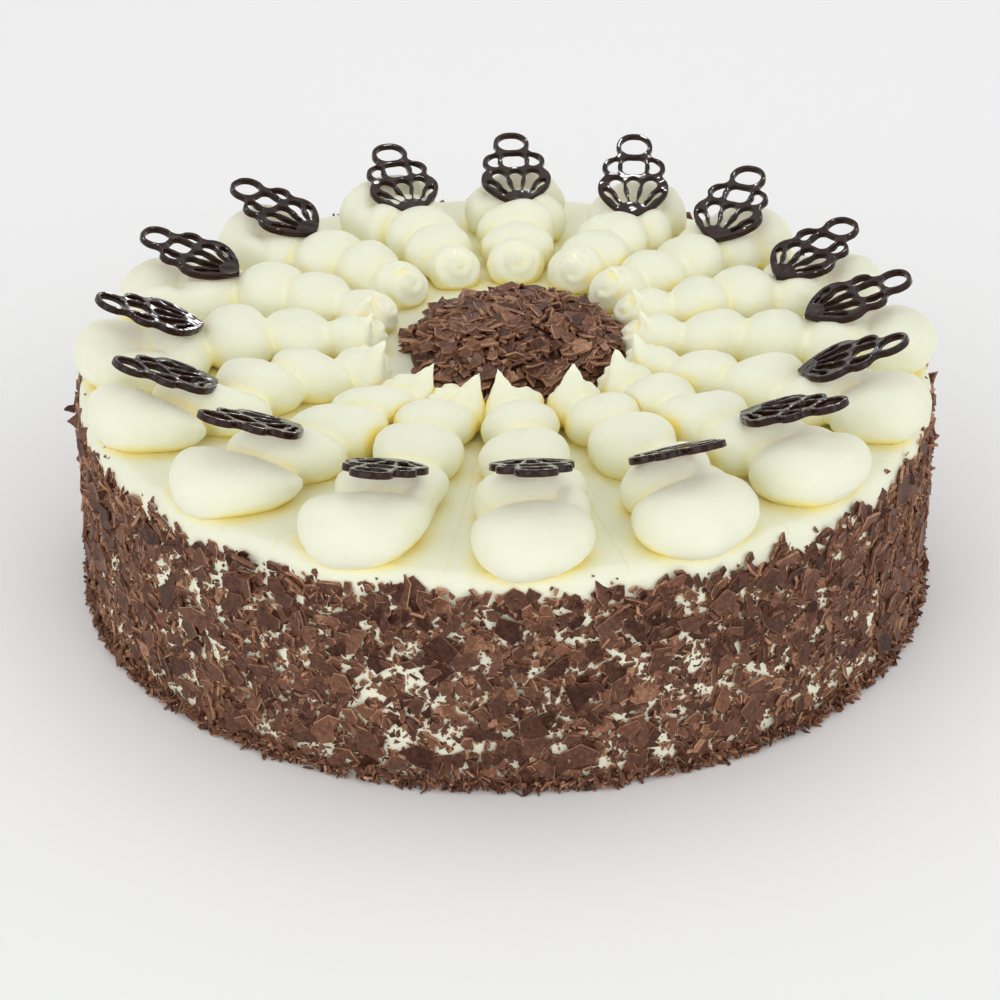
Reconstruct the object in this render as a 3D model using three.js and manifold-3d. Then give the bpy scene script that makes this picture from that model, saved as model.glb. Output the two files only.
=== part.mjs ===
// Chocolate torte: a round cream cake with chocolate flakes on its side, sixteen piped cream
// ropes that run from the rim to a heap of flakes, and a chocolate filigree on every rope.
// Millimetres, +Z up. The origin is the centre of the cake's underside.
import * as THREE from 'three';
import { mergeVertices } from 'three/addons/utils/BufferGeometryUtils.js';
import Module from 'manifold-3d';

const wasm = await Module();
wasm.setup();

// Driving dimensions
const cake = { radius: 137, height: 72.5, rimRound: 4, rimSteps: 2, sides: 54 };
const gap = 0.3; // kept between pieces that rest on or in one another
const weld = 1e-4;
const nearPole = 0.05; // half width of a unit ball's ring that counts as its pole

// Directions of the sixteen ropes, piped by hand and so a little uneven, in degrees from +X
const ropeAngles = [-86, -66, -43, -20, 4, 22, 43, 63, 87, 109, 132, 156, 180, 203, 231, 251];

// A rope's reach from the cake's axis, and the strokes that it is piped from, rim to middle.
// The crease is where the third stroke starts, just behind the filigree's foot.
const rope = {
  outer: 138,
  outerFront: 3,
  outerBack: 17,
  crease: 94,
  creaseFront: 5,
  inner: 41,
  innerBack: 18,
  overlap: 4,
  shortest: 10,
  halfWidths: [19.2, 17.5, 15, 11.5],
  heights: [16.5, 16, 15, 13.5],
  easing: 1.5,
  bow: 5,
  skew: 2,
  taper: 0.12,
  seat: 0.3,
  fullness: 2.5,
  blunt: 0.7,
  sides: 7,
  rings: 4,
};
const peak = { radius: 9.5, foot: 5, top: 20.5, backDrop: 5, inward: 4, aside: -3, sides: 6 };

// The filigree, laid flat with its foot at the origin and its tip up the Y axis. The points of
// its outline are half widths and heights: corners, and the bulges that pull the curves out.
const filigree = {
  thickness: 3.2,
  tip: 37,
  fanHalf: 12.2,
  shoulder: [10.5, 9],
  fanBulge: [13.9, 14],
  waist: [10, 18],
  lobeBulge: [12.5, 23],
  neck: [6, 27],
  ringBulge: [6.8, 37],
  curveSteps: 3,
  footRadius: 97.5,
  footHeight: 13.5,
};
const slot = {
  angles: [-40, -21, 0, 21, 40],
  start: 6.5,
  end: 15.6,
  spread: 7.5,
  later: 0.05,
  sooner: 0.036,
};
const cell = { foot: 19, footHalf: 3.7, top: 26, topHalf: 3.3 };
const loop = { x: 7.6, y: 21.9, halfWidth: 1.9, halfHeight: 2.7 };
const eye = { y: 32, halfWidth: 3.6, halfHeight: 3 };
// How far each filigree is turned from its rope's direction, and how steeply it leans, in degrees
const filigreeTurns = [0, 25, 10, 5, 8, 18, 20, 24, 9, 0, 13, 2, 18, 8, -14, 6];
const filigreeLeans = [20, 28, 21, 25, 18, 17, 20, 23, 20, 19, 17, 15, 21, 24, 23, 22];

// Broken flakes, and where they lie: on the side, and over the core of the heap
const flake = {
  thickness: 1.8,
  smallest: 8,
  largest: 15,
  narrow: 0.72,
  corners: 4,
  shift: 0.7,
  leastReach: 0.75,
};
const sideFlakes = { count: 88, sunk: 0.7, lowest: 8, highest: 66, stray: 0.1, tilt: 14, seed: 11 };
const heap = { x: 4, y: 5, radius: 33, height: 10, sides: 18, rounds: [20, 50] };
const heapFlakes = { count: 40, sunk: 0.4, reach: 36, leastLevel: 0.2, tilt: 30, seed: 29 };

const creamLook = { color: 0xf3f0da, roughness: 0.55, metalness: 0 };
const flakeLook = { color: 0x6a4638, roughness: 0.6, metalness: 0 };
const filigreeLook = { color: 0x2e1711, roughness: 0.28, metalness: 0 };

const degree = Math.PI / 180;
const goldenShare = (Math.sqrt(5) - 1) / 2;
const goldenTurn = 2 * Math.PI * (1 - goldenShare);

// Park and Miller's generator, so that the scatter is the same on every run
function randomFrom(seed) {
  let state = seed;
  return () => {
    state = (state * 16807) % 2147483647;
    return state / 2147483647;
  };
}

function mix(from, to, share) {
  return from + (to - from) * share;
}

function solidOf(geometry) {
  const bare = geometry.clone();
  bare.deleteAttribute('normal');
  bare.deleteAttribute('uv');
  const merged = mergeVertices(bare, weld);
  const corners = merged.index.array;
  const kept = [];
  for (let i = 0; i < corners.length; i += 3) {
    const [a, b, c] = [corners[i], corners[i + 1], corners[i + 2]];
    if (a !== b && b !== c && c !== a) kept.push(a, b, c);
  }
  const vertProperties = new Float32Array(merged.attributes.position.array);
  return new wasm.Manifold(new wasm.Mesh({ numProp: 3, vertProperties, triVerts: new Uint32Array(kept) }));
}

function geometryOf(solid) {
  const mesh = solid.getMesh();
  const geometry = new THREE.BufferGeometry();
  geometry.setAttribute('position', new THREE.BufferAttribute(mesh.vertProperties, 3));
  geometry.setIndex(new THREE.BufferAttribute(mesh.triVerts, 1));
  geometry.computeVertexNormals();
  return geometry;
}

// The largest of the bodies that a cut leaves
function largestOf(solid) {
  const bodies = solid.decompose();
  bodies.sort((one, other) => other.volume() - one.volume());
  return bodies[0];
}

function named(name, geometry, look) {
  const mesh = new THREE.Mesh(geometry, new THREE.MeshStandardMaterial(look));
  mesh.name = name;
  return mesh;
}

// Where each rope points, how far it runs and where each of its strokes starts
function ropePlan(index) {
  const angle = ropeAngles[index] * degree;
  const backward = Math.max(0, Math.sin(angle)) ** rope.easing;
  const forward = Math.max(0, -Math.sin(angle)) ** rope.easing;
  const outer = rope.outer + rope.outerFront * forward - rope.outerBack * backward;
  const crease = rope.crease - rope.creaseFront * forward;
  const inner = rope.inner + rope.innerBack * backward;
  const fronts = [outer, (outer + crease) / 2, crease, (crease + inner) / 2, inner];
  return { angle, backward, inner, fronts };
}

// Turns a piece made on the cake's axis, pointing up the Y axis, to a rope's place
function ropeMatrix(plan) {
  const turn = new THREE.Matrix4().makeRotationZ(plan.angle - Math.PI / 2);
  return new THREE.Matrix4().makeTranslation(0, 0, cake.height).multiply(turn);
}

// One stroke of the nozzle: a fat sausage across the rope, bowed outwards, its left end fuller
function strokeSolid(plan, index) {
  const geometry = new THREE.SphereGeometry(1, rope.sides, rope.rings);
  const place = geometry.attributes.position;
  const [front, next] = plan.fronts.slice(index);
  const halfLength = Math.max(rope.shortest, (front - next) / 2 + rope.overlap) - rope.bow / 2;
  const middle = front - halfLength - rope.bow;
  const halfHeight = rope.heights[index] / (1 + 2 * rope.seat);
  for (let i = 0; i < place.count; i += 1) {
    const along = Math.sign(place.getY(i)) * Math.abs(place.getY(i)) ** rope.blunt;
    const round = Math.sqrt(Math.max(0, 1 - place.getY(i) ** 2));
    const full = Math.max(0, 1 - Math.abs(along) ** rope.fullness) ** (1 / rope.fullness);
    const swell = (1 + rope.taper * along) * (round > nearPole ? full / round : 1);
    const across = -place.getX(i) * swell;
    const rise = place.getZ(i) * swell;
    place.setXYZ(
      i,
      rope.halfWidths[index] * along,
      middle + halfLength * across + rope.bow * (1 - along * along) + rope.skew * along,
      halfHeight * (2 * rope.seat + rise),
    );
  }
  return solidOf(geometry);
}

// The point that the nozzle pulls up as it leaves the rope
function peakSolid(plan) {
  const top = peak.top - peak.backDrop * plan.backward;
  const height = top - peak.foot;
  const geometry = new THREE.ConeGeometry(peak.radius, height, peak.sides);
  geometry.rotateX(Math.PI / 2);
  geometry.translate(0, 0, peak.foot + height / 2);
  const place = geometry.attributes.position;
  const middle = plan.inner + rope.shortest;
  for (let i = 0; i < place.count; i += 1) {
    const share = (place.getZ(i) - peak.foot) / height;
    place.setX(i, place.getX(i) + peak.aside * share);
    place.setY(i, middle + place.getY(i) - peak.inward * share);
  }
  return solidOf(geometry);
}

// The wedge of the top that one rope may fill, from the cake's top upwards
function wedgeSolid(index) {
  const last = ropeAngles.length - 1;
  const own = ropeAngles[index];
  const before = index > 0 ? ropeAngles[index - 1] : ropeAngles[last] - 360;
  const after = index < last ? ropeAngles[index + 1] : ropeAngles[0] + 360;
  const low = ((own + before) / 2) * degree;
  const high = ((own + after) / 2) * degree;
  const middle = (low + high) / 2;
  const apex = gap / 2 / Math.sin((high - low) / 2);
  const x = apex * Math.cos(middle);
  const y = apex * Math.sin(middle);
  const reach = 2 * cake.radius;
  const outline = new THREE.Shape();
  outline.moveTo(x, y);
  outline.lineTo(x + reach * Math.cos(low), y + reach * Math.sin(low));
  outline.lineTo(x + reach * Math.cos(high), y + reach * Math.sin(high));
  const geometry = new THREE.ExtrudeGeometry(outline, { depth: cake.height, bevelEnabled: false });
  return solidOf(geometry.translate(0, 0, cake.height));
}

function mirrored([x, y]) {
  return [-x, y];
}

// Outline of the filigree: a fan, two lobes above it and a ring at the tip
function filigreeOutline() {
  const outline = new THREE.Shape();
  outline.moveTo(0, 0);
  outline.lineTo(...filigree.shoulder);
  outline.quadraticCurveTo(...filigree.fanBulge, ...filigree.waist);
  outline.quadraticCurveTo(...filigree.lobeBulge, ...filigree.neck);
  outline.quadraticCurveTo(...filigree.ringBulge, 0, filigree.tip);
  outline.quadraticCurveTo(...mirrored(filigree.ringBulge), ...mirrored(filigree.neck));
  outline.quadraticCurveTo(...mirrored(filigree.lobeBulge), ...mirrored(filigree.waist));
  outline.quadraticCurveTo(...mirrored(filigree.fanBulge), ...mirrored(filigree.shoulder));
  return outline;
}

// Openings of the filigree: five slots in the fan, three cells in the middle, one in the ring
function filigreeOpenings() {
  const openings = [];
  for (const angle of slot.angles) {
    const low = (angle - slot.spread) * degree;
    const high = (angle + slot.spread) * degree;
    const start = slot.start + slot.later * Math.abs(angle);
    const end = slot.end - slot.sooner * Math.abs(angle);
    const opening = new THREE.Path();
    opening.moveTo(start * Math.sin(angle * degree), start * Math.cos(angle * degree));
    opening.lineTo(end * Math.sin(low), end * Math.cos(low));
    opening.lineTo(end * Math.sin(high), end * Math.cos(high));
    openings.push(opening);
  }
  const middle = new THREE.Path();
  middle.moveTo(-cell.footHalf, cell.foot);
  middle.lineTo(cell.footHalf, cell.foot);
  middle.lineTo(cell.topHalf, cell.top);
  middle.lineTo(-cell.topHalf, cell.top);
  openings.push(middle);
  for (const side of [-1, 1]) {
    const opening = new THREE.Path();
    opening.absellipse(side * loop.x, loop.y, loop.halfWidth, loop.halfHeight, 0, 2 * Math.PI);
    openings.push(opening);
  }
  const top = new THREE.Path();
  top.absellipse(0, eye.y, eye.halfWidth, eye.halfHeight, 0, 2 * Math.PI);
  openings.push(top);
  return openings;
}

function filigreeGeometry() {
  const outline = filigreeOutline();
  outline.holes = filigreeOpenings();
  const options = { depth: filigree.thickness, bevelEnabled: false, curveSegments: filigree.curveSteps };
  const geometry = new THREE.ExtrudeGeometry(outline, options);
  return geometry.translate(0, 0, -filigree.thickness / 2);
}

// Sets a filigree on its rope: foot in the crease behind the second stroke, tip out and up
function placeFiligree(piece, plan, index) {
  piece.position.set(
    filigree.footRadius * Math.cos(plan.angle),
    filigree.footRadius * Math.sin(plan.angle),
    cake.height + filigree.footHeight,
  );
  const turn = plan.angle - Math.PI / 2 + filigreeTurns[index] * degree;
  piece.rotation.set(filigreeLeans[index] * degree, 0, turn, 'ZXY');
  piece.updateMatrix();
  return piece;
}

// The room that a set filigree takes out of the cream, as a plain kite round its outline
function slotSolid(piece) {
  const half = filigree.fanHalf + gap;
  const neck = filigree.neck[0] + 2 * gap;
  const kite = new THREE.Shape();
  kite.moveTo(0, -2 * gap);
  kite.lineTo(half, filigree.shoulder[1]);
  kite.lineTo(half, filigree.waist[1]);
  kite.lineTo(neck, filigree.tip + gap);
  kite.lineTo(-neck, filigree.tip + gap);
  kite.lineTo(-half, filigree.waist[1]);
  kite.lineTo(-half, filigree.shoulder[1]);
  const depth = filigree.thickness + 2 * gap;
  const geometry = new THREE.ExtrudeGeometry(kite, { depth, bevelEnabled: false });
  geometry.translate(0, 0, -depth / 2);
  return solidOf(geometry.applyMatrix4(piece.matrix));
}

// A flat broken flake with a few straight sides, centred on the origin
function flakeGeometry(size, sunk, random) {
  const outline = new THREE.Shape();
  for (let corner = 0; corner < flake.corners; corner += 1) {
    const angle = ((corner + flake.shift * random()) / flake.corners) * 2 * Math.PI;
    const reach = (size / 2) * mix(flake.leastReach, 1, random());
    const x = reach * Math.cos(angle);
    const y = reach * flake.narrow * Math.sin(angle);
    if (corner === 0) outline.moveTo(x, y);
    else outline.lineTo(x, y);
  }
  const geometry = new THREE.ExtrudeGeometry(outline, { depth: flake.thickness, bevelEnabled: false });
  return geometry.translate(0, 0, -sunk);
}

function cakeSolid(blockers) {
  const profile = [new THREE.Vector2(0, 0), new THREE.Vector2(cake.radius, 0)];
  for (let step = 0; step <= cake.rimSteps; step += 1) {
    const angle = (step / cake.rimSteps) * 90 * degree;
    profile.push(new THREE.Vector2(
      cake.radius - cake.rimRound * (1 - Math.cos(angle)),
      cake.height - cake.rimRound * (1 - Math.sin(angle)),
    ));
  }
  profile.push(new THREE.Vector2(0, cake.height));
  const lathe = new THREE.LatheGeometry(profile, cake.sides).rotateX(Math.PI / 2);
  let body = solidOf(lathe);
  const random = randomFrom(sideFlakes.seed);
  for (let i = 0; i < sideFlakes.count; i += 1) {
    const size = mix(flake.largest, flake.smallest, random());
    const piece = flakeGeometry(size, sideFlakes.sunk, random);
    const level = (i * goldenShare + sideFlakes.stray * random()) % 1;
    const height = mix(sideFlakes.lowest, sideFlakes.highest, level);
    const turn = ((i + random()) / sideFlakes.count) * 2 * Math.PI;
    piece.rotateZ(random() * 2 * Math.PI);
    piece.rotateX((random() - 0.5) * 2 * sideFlakes.tilt * degree);
    piece.rotateX(Math.PI / 2);
    piece.rotateZ(turn + Math.PI / 2);
    piece.translate(cake.radius * Math.cos(turn), cake.radius * Math.sin(turn), height);
    const chip = solidOf(piece);
    if (blockers.every((other) => chip.intersect(other).isEmpty())) body = body.add(chip);
  }
  return largestOf(body);
}

function heapSolid(blockers) {
  const profile = [new THREE.Vector2(0, 0), new THREE.Vector2(heap.radius, 0)];
  for (const angle of heap.rounds) {
    profile.push(new THREE.Vector2(
      heap.radius * Math.cos(angle * degree),
      heap.height * Math.sin(angle * degree),
    ));
  }
  profile.push(new THREE.Vector2(0, heap.height));
  const lathe = new THREE.LatheGeometry(profile, heap.sides).rotateX(Math.PI / 2);
  lathe.translate(heap.x, heap.y, cake.height);
  let body = solidOf(lathe);
  const floor = floorSolid();
  const random = randomFrom(heapFlakes.seed);
  for (let i = 0; i < heapFlakes.count; i += 1) {
    const size = mix(flake.largest, flake.smallest, random());
    const piece = flakeGeometry(size, heapFlakes.sunk, random);
    const reach = heapFlakes.reach * Math.sqrt((i + 0.5) / heapFlakes.count);
    const turn = i * goldenTurn;
    const dome = Math.sqrt(Math.max(0, 1 - (reach / heap.radius) ** 2));
    const level = heap.height * Math.max(heapFlakes.leastLevel, dome);
    piece.rotateZ(random() * 2 * Math.PI);
    piece.rotateX((random() - 0.5) * 2 * heapFlakes.tilt * degree);
    piece.rotateY((reach / heap.radius) * heapFlakes.tilt * degree);
    piece.rotateZ(turn);
    const x = heap.x + reach * Math.cos(turn);
    const y = heap.y + reach * Math.sin(turn);
    piece.translate(x, y, cake.height + level);
    const chip = solidOf(piece).subtract(floor);
    if (chip.isEmpty()) continue;
    if (blockers.every((other) => chip.intersect(other).isEmpty())) body = body.add(chip);
  }
  return largestOf(body);
}

// Everything under the cake's top
function floorSolid() {
  const block = new THREE.BoxGeometry(2 * cake.radius, 2 * cake.radius, cake.height);
  return solidOf(block.translate(0, 0, cake.height / 2));
}

const torte = new THREE.Group();
torte.name = 'chocolate_torte';

const ropeSolids = [];
for (let index = 0; index < ropeAngles.length; index += 1) {
  const plan = ropePlan(index);
  const number = String(index + 1).padStart(2, '0');
  const piece = placeFiligree(named(`filigree_${number}`, filigreeGeometry(), filigreeLook), plan, index);
  let cream = peakSolid(plan);
  for (let stroke = 0; stroke < rope.heights.length; stroke += 1) {
    cream = cream.add(strokeSolid(plan, stroke));
  }
  const placed = solidOf(geometryOf(cream).applyMatrix4(ropeMatrix(plan)));
  const trimmed = largestOf(placed.intersect(wedgeSolid(index)).subtract(slotSolid(piece)));
  ropeSolids.push(trimmed);
  torte.add(named(`cream_rope_${number}`, geometryOf(trimmed), creamLook), piece);
}
torte.add(named('flake_heap', geometryOf(heapSolid(ropeSolids)), flakeLook));
torte.add(named('cake_body', geometryOf(cakeSolid(ropeSolids)), creamLook));

export default torte;
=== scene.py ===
import math

import bmesh
import bpy
import numpy as np
from mathutils import Matrix, Vector, noise
from mathutils.bvhtree import BVHTree


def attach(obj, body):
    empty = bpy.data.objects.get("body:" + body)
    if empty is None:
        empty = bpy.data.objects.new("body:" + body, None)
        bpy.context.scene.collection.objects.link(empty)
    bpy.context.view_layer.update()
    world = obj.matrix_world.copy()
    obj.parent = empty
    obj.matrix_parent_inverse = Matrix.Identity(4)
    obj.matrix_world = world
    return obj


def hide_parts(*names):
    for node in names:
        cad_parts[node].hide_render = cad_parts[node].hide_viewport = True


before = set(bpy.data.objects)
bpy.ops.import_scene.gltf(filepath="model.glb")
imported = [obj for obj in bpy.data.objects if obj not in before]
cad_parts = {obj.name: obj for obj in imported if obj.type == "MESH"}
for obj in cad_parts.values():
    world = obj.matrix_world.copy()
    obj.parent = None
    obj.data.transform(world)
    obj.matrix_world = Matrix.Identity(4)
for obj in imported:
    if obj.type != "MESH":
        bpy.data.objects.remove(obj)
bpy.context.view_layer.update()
scene = bpy.context.scene
mm = 0.001  # the scene is in metres, the sizes below in millimetres


# small helpers

def linear(hexCode):
    parts = [int(hexCode[i:i + 2], 16) / 255 for i in (1, 3, 5)]
    return tuple(c / 12.92 if c <= 0.04045 else ((c + 0.055) / 1.055) ** 2.4 for c in parts) + (1.0,)


def addNode(tree, kind, inputs=None, **settings):
    node = tree.nodes.new(kind)
    for key, value in settings.items():
        setattr(node, key, value)
    for key, value in (inputs or {}).items():  # a socket is linked, a plain value is set
        if isinstance(value, bpy.types.NodeSocket):
            tree.links.new(value, node.inputs[key])
        else:
            node.inputs[key].default_value = value
    return node


def newMaterial(name):
    made = bpy.data.materials.new(name)
    made.use_nodes = True
    tree = made.node_tree
    return made, tree, tree.nodes["Principled BSDF"]


def setRamp(ramp, stops):
    while len(ramp.elements) < len(stops):
        ramp.elements.new(0.5)
    for element, (place, colour) in zip(ramp.elements, stops):
        element.position = place
        element.color = linear(colour)


def newPiece(name, mesh, material, slot, *nodes):
    piece = bpy.data.objects.new(name, mesh)
    scene.collection.objects.link(piece)
    mesh.materials.clear()
    mesh.materials.append(material)
    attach(piece, "root")
    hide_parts(*nodes)


def meshOf(bm, name):
    mesh = bpy.data.meshes.new(name)
    bm.to_mesh(mesh)
    bm.free()
    return mesh


# materials

# Whipped dairy cream, piped or smoothed with a spatula: fat and air scatter light under the skin,
# so shadows stay soft; creases get a painted yellow shade; the skin is satin with drag lines and small
# bubbles
creamLook = {"base": "#f5f6de", "shadeColour": "#ffee8f", "shadeFrom": 0.06, "shadeTo": 0.6, "roughness": 0.5,
             "ior": 1.45, "specular": 0.25, "scatterTint": (1.0, 0.97, 0.7), "grain": 1.1, "streak": 0.9,
             "sweep": 12, "cloud": 14, "cloudShare": 0.12, "cloudBase": -0.03, "bubbleSpacing": 9.0,
             "bubble": (0.03, 0.075), "relief": 0.45, "reliefDepth": 0.45}
# the top is scored into portions: a bump groove with painted shade along it
portionMarks = {"turn": 15.2, "count": 16, "width": 0.45, "depth": 0.7, "shadeTint": 0.2, "lowest": 71}


def whippedCream(name, share, scatter, streak, shadeWeight, marked):
    made, tree, shader = newMaterial(name)
    place = addNode(tree, "ShaderNodeTexCoord").outputs["Object"]
    parts = addNode(tree, "ShaderNodeSeparateXYZ", {"Vector": place}).outputs
    turn = addNode(tree, "ShaderNodeMath", {0: parts["Y"], 1: parts["X"]}, operation="ARCTAN2").outputs[0]
    flat = addNode(tree, "ShaderNodeCombineXYZ", {"X": parts["X"], "Y": parts["Y"]}).outputs[0]
    reach = addNode(tree, "ShaderNodeVectorMath", {0: flat}, operation="LENGTH").outputs["Value"]
    along = addNode(tree, "ShaderNodeMath", {0: turn, 1: creamLook["sweep"] * mm},
                    operation="MULTIPLY").outputs[0]
    swept = addNode(tree, "ShaderNodeCombineXYZ", {"X": along, "Y": reach, "Z": parts["Z"]}).outputs[0]
    drag = addNode(tree, "ShaderNodeTexNoise", {"Vector": swept, "Scale": 1 / (creamLook["streak"] * mm),
                                                "Detail": 1.5, "Roughness": 0.6}).outputs["Fac"]
    grain = addNode(tree, "ShaderNodeTexNoise", {"Vector": place, "Scale": 1 / (creamLook["grain"] * mm),
                                                 "Detail": 1.5, "Roughness": 0.65}).outputs["Fac"]
    cloud = addNode(tree, "ShaderNodeTexNoise", {"Vector": place, "Scale": 1 / (creamLook["cloud"] * mm),
                                                 "Detail": 0.0}).outputs["Fac"]
    bubble = addNode(tree, "ShaderNodeTexVoronoi",
                     {"Vector": place, "Scale": 1 / (creamLook["bubbleSpacing"] * mm),
                      "Randomness": 1.0}).outputs["Distance"]
    pit = addNode(tree, "ShaderNodeMapRange",
                  {"Value": bubble, "From Min": creamLook["bubble"][0], "From Max": creamLook["bubble"][1],
                   "To Min": -1.0, "To Max": 0.0}).outputs["Result"]
    # how closed in by other cream a point is, painted as yellow shade
    creaseShade = addNode(tree, "ShaderNodeAttribute", attribute_name="creaseShade").outputs["Fac"]
    uneven = addNode(tree, "ShaderNodeMath",
                     {0: cloud, 1: creamLook["cloudShare"], 2: creamLook["cloudBase"]},
                     operation="MULTIPLY_ADD").outputs[0]
    # how much painted yellow shade, with random clouds
    depth = addNode(tree, "ShaderNodeMath", {0: creaseShade, 1: shadeWeight, 2: uneven},
                    operation="MULTIPLY_ADD", use_clamp=True).outputs[0]
    rough = addNode(tree, "ShaderNodeMath", {0: drag, 1: streak}, operation="MULTIPLY").outputs[0]
    height = addNode(tree, "ShaderNodeMath", {0: rough, 1: grain}, operation="ADD").outputs[0]
    height = addNode(tree, "ShaderNodeMath", {0: height, 1: pit}, operation="ADD").outputs[0]
    if marked:  # the top is scored into portions
        step = 2 * math.pi / portionMarks["count"]
        slices = addNode(tree, "ShaderNodeMath",
                         {0: turn, 1: 1 / step, 2: -math.radians(portionMarks["turn"]) / step},
                         operation="MULTIPLY_ADD").outputs[0]
        away = addNode(tree, "ShaderNodeMath", {0: slices, 1: 0.5}, operation="PINGPONG").outputs[0]
        away = addNode(tree, "ShaderNodeMath", {0: away, 1: reach}, operation="MULTIPLY").outputs[0]
        line = addNode(tree, "ShaderNodeMapRange",
                       {"Value": away, "From Min": 0.0, "From Max": portionMarks["width"] * mm / step,
                        "To Min": 1.0, "To Max": 0.0}).outputs["Result"]
        onTop = addNode(tree, "ShaderNodeMath", {0: parts["Z"], 1: portionMarks["lowest"] * mm},
                        operation="GREATER_THAN").outputs[0]
        line = addNode(tree, "ShaderNodeMath", {0: line, 1: onTop}, operation="MULTIPLY").outputs[0]
        height = addNode(tree, "ShaderNodeMath", {0: line, 1: -portionMarks["depth"], 2: height},
                         operation="MULTIPLY_ADD").outputs[0]
        # the scored lines also get painted shade along them
        depth = addNode(tree, "ShaderNodeMath", {0: line, 1: portionMarks["shadeTint"], 2: depth},
                        operation="MULTIPLY_ADD", use_clamp=True).outputs[0]
    # colour from the cream's own tone to the painted yellow shade of creases
    shadeTint = addNode(tree, "ShaderNodeValToRGB", {"Fac": depth})
    setRamp(shadeTint.color_ramp, [(creamLook["shadeFrom"], creamLook["base"]),
                              (creamLook["shadeTo"], creamLook["shadeColour"])])
    bump = addNode(tree, "ShaderNodeBump", {"Height": height, "Strength": creamLook["relief"],
                                            "Distance": creamLook["reliefDepth"] * mm})
    tree.links.new(shadeTint.outputs["Color"], shader.inputs["Base Color"])
    tree.links.new(bump.outputs["Normal"], shader.inputs["Normal"])
    shader.inputs["Roughness"].default_value = creamLook["roughness"]
    shader.inputs["IOR"].default_value = creamLook["ior"]
    shader.inputs["Specular IOR Level"].default_value = creamLook["specular"]
    shader.subsurface_method = "BURLEY"
    shader.inputs["Subsurface Weight"].default_value = share
    shader.inputs["Subsurface Radius"].default_value = creamLook["scatterTint"]
    shader.inputs["Subsurface Scale"].default_value = scatter * mm
    return made


# Broken dark milk chocolate: flakes shaved from a slab have dull, slightly bloomed faces with fine
# scratches, and paler, redder edges where they broke
flakeLook = {"edge": "#cb9d7c", "pale": "#875c46", "mid": "#5f4033", "dark": "#36190e", "paleAt": 0.65,
             "midAt": 0.35, "roughness": 0.42, "ior": 1.5, "specular": 0.15, "speck": 0.35, "cloud": 1.6,
             "shift": 0.55, "relief": 0.4, "reliefDepth": 0.2}


def brokenChocolate():
    made, tree, shader = newMaterial("brokenChocolate")
    place = addNode(tree, "ShaderNodeTexCoord").outputs["Object"]
    tone = addNode(tree, "ShaderNodeAttribute", attribute_name="tone").outputs["Fac"]
    speck = addNode(tree, "ShaderNodeTexNoise", {"Vector": place, "Scale": 1 / (flakeLook["speck"] * mm),
                                                 "Detail": 1.0, "Roughness": 0.7}).outputs["Fac"]
    cloud = addNode(tree, "ShaderNodeTexNoise", {"Vector": place, "Scale": 1 / (flakeLook["cloud"] * mm),
                                                 "Detail": 1.0}).outputs["Fac"]
    both = addNode(tree, "ShaderNodeMath", {0: speck, 1: cloud}, operation="ADD").outputs[0]
    shift = addNode(tree, "ShaderNodeMath", {0: both, 1: flakeLook["shift"], 2: -flakeLook["shift"]},
                    operation="MULTIPLY_ADD").outputs[0]
    total = addNode(tree, "ShaderNodeMath", {0: tone, 1: shift}, operation="ADD").outputs[0]
    ramp = addNode(tree, "ShaderNodeValToRGB", {"Fac": total})
    setRamp(ramp.color_ramp, [(0.0, flakeLook["dark"]), (flakeLook["midAt"], flakeLook["mid"]),
                              (flakeLook["paleAt"], flakeLook["pale"]), (1.0, flakeLook["edge"])])
    bump = addNode(tree, "ShaderNodeBump", {"Height": speck, "Strength": flakeLook["relief"],
                                            "Distance": flakeLook["reliefDepth"] * mm})
    tree.links.new(ramp.outputs["Color"], shader.inputs["Base Color"])
    tree.links.new(bump.outputs["Normal"], shader.inputs["Normal"])
    shader.inputs["Roughness"].default_value = flakeLook["roughness"]
    shader.inputs["IOR"].default_value = flakeLook["ior"]
    shader.inputs["Specular IOR Level"].default_value = flakeLook["specular"]
    return made


# Tempered dark chocolate out of a polished mould: nearly black, with sharp glints on slightly wavy faces,
# and a thin lower rim painted brown as if light came through
filigreeLook = {"base": "#28110a", "rim": "#8a431b", "rimStart": 0.8, "roughness": 0.1, "ior": 1.5,
                "specular": 0.3, "wave": 3.5, "relief": 0.7, "reliefDepth": 0.7}


def mouldedChocolate():
    made, tree, shader = newMaterial("mouldedChocolate")
    place = addNode(tree, "ShaderNodeTexCoord").outputs["Object"]
    # the lower rim: painted brown light coming through the chocolate
    low = addNode(tree, "ShaderNodeAttribute", attribute_name="rim").outputs["Fac"]
    ramp = addNode(tree, "ShaderNodeValToRGB", {"Fac": low})
    setRamp(ramp.color_ramp, [(filigreeLook["rimStart"], filigreeLook["base"]), (1.0, filigreeLook["rim"])])
    wave = addNode(tree, "ShaderNodeTexNoise", {"Vector": place, "Scale": 1 / (filigreeLook["wave"] * mm),
                                                "Detail": 0.0}).outputs["Fac"]
    bump = addNode(tree, "ShaderNodeBump", {"Height": wave, "Strength": filigreeLook["relief"],
                                            "Distance": filigreeLook["reliefDepth"] * mm})
    tree.links.new(ramp.outputs["Color"], shader.inputs["Base Color"])
    tree.links.new(bump.outputs["Normal"], shader.inputs["Normal"])
    shader.inputs["Roughness"].default_value = filigreeLook["roughness"]
    shader.inputs["IOR"].default_value = filigreeLook["ior"]
    shader.inputs["Specular IOR Level"].default_value = filigreeLook["specular"]
    return made


pipedCream = whippedCream("pipedCream", share=0.8, scatter=4.0, streak=0.6, shadeWeight=1.0, marked=False)
spreadCream = whippedCream("spreadCream", share=0.2, scatter=1.2, streak=0.8, shadeWeight=0.6, marked=True)
flakeChocolate = brokenChocolate()
filigreeChocolate = mouldedChocolate()
print("materials made")


# the cake under its coat of cream

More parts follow.
